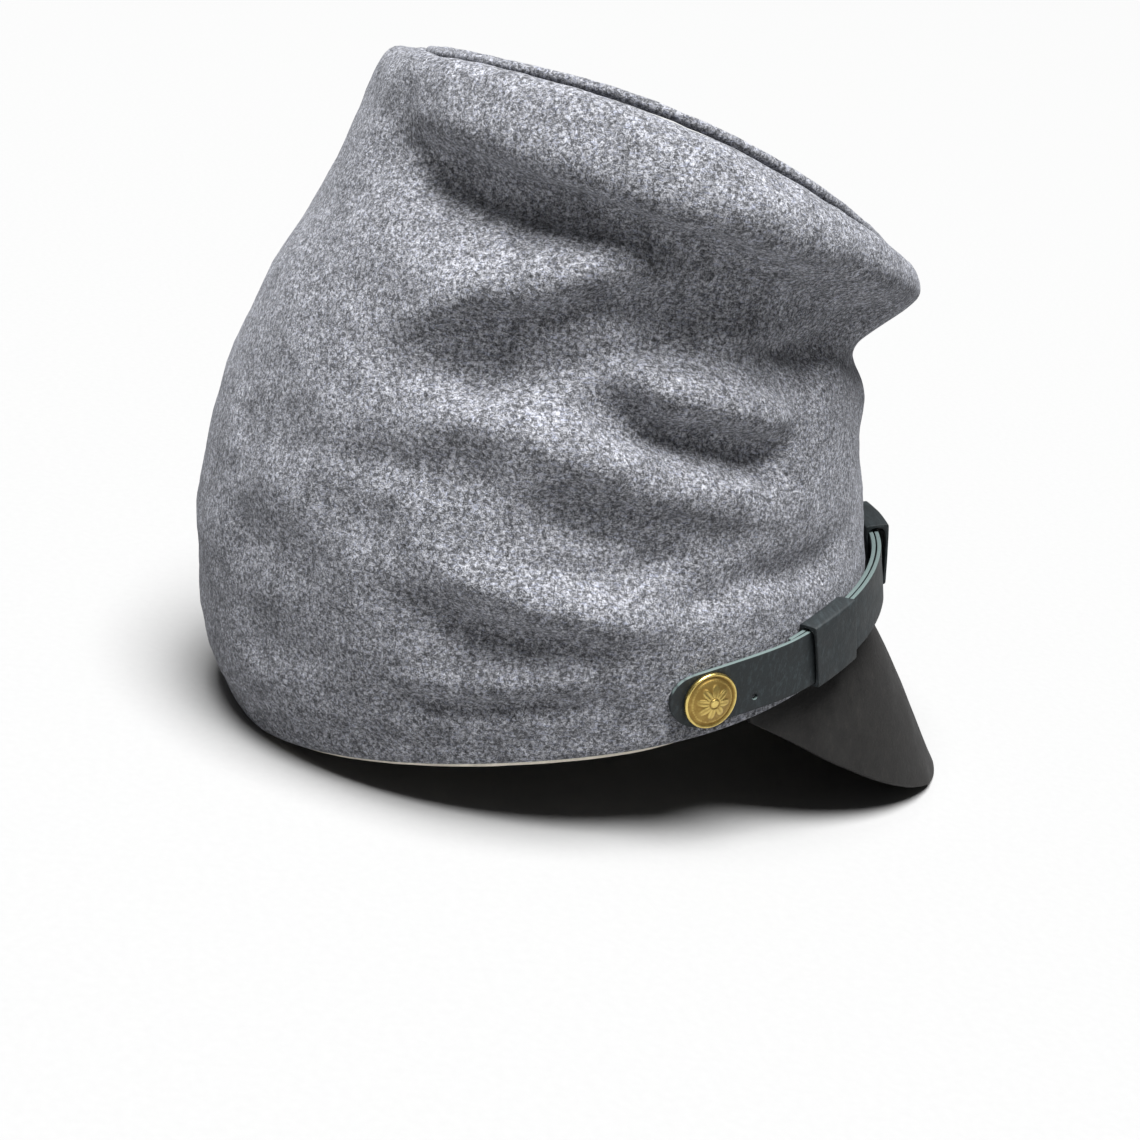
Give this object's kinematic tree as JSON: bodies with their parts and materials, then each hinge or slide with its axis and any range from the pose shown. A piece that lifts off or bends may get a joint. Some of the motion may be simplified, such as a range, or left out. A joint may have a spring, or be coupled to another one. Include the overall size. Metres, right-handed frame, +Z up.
{
  "type": "forage cap",
  "caption": "Soft wool forage cap with a high crown that leans forward, a piped round top, a drooping leather peak and a leather chin strap on brass side buttons.",
  "frame": {"origin": "on the floor under the middle of the cap's outline, as the cap rests by itself", "axes": "+Z up, -Y towards the peak, +X towards the wearer's left"},
  "size_m": [0.176, 0.2348, 0.1962],
  "materials": {
    "wool_cloth": "fulled heather-grey wool with a short nap",
    "sweatband_leather": "smooth undyed sheepskin",
    "peak_leather": "waxed brown-black harness leather, dull gloss",
    "strap_leather": "blue-black strap leather with pale cut edges",
    "button_brass": "stamped and gilt, worn bright on the rim"
  },
  "bodies": {
    "root": {"crown_body": "wool_cloth", "crown_top": "wool_cloth", "top_welt": "wool_cloth", "sweatband": "sweatband_leather", "peak": "peak_leather", "strap_right": "strap_leather", "strap_left": "strap_leather", "keeper_right": "strap_leather", "keeper_left": "strap_leather", "button_right": "button_brass", "button_left": "button_brass"}
  },
  "joints": []
}
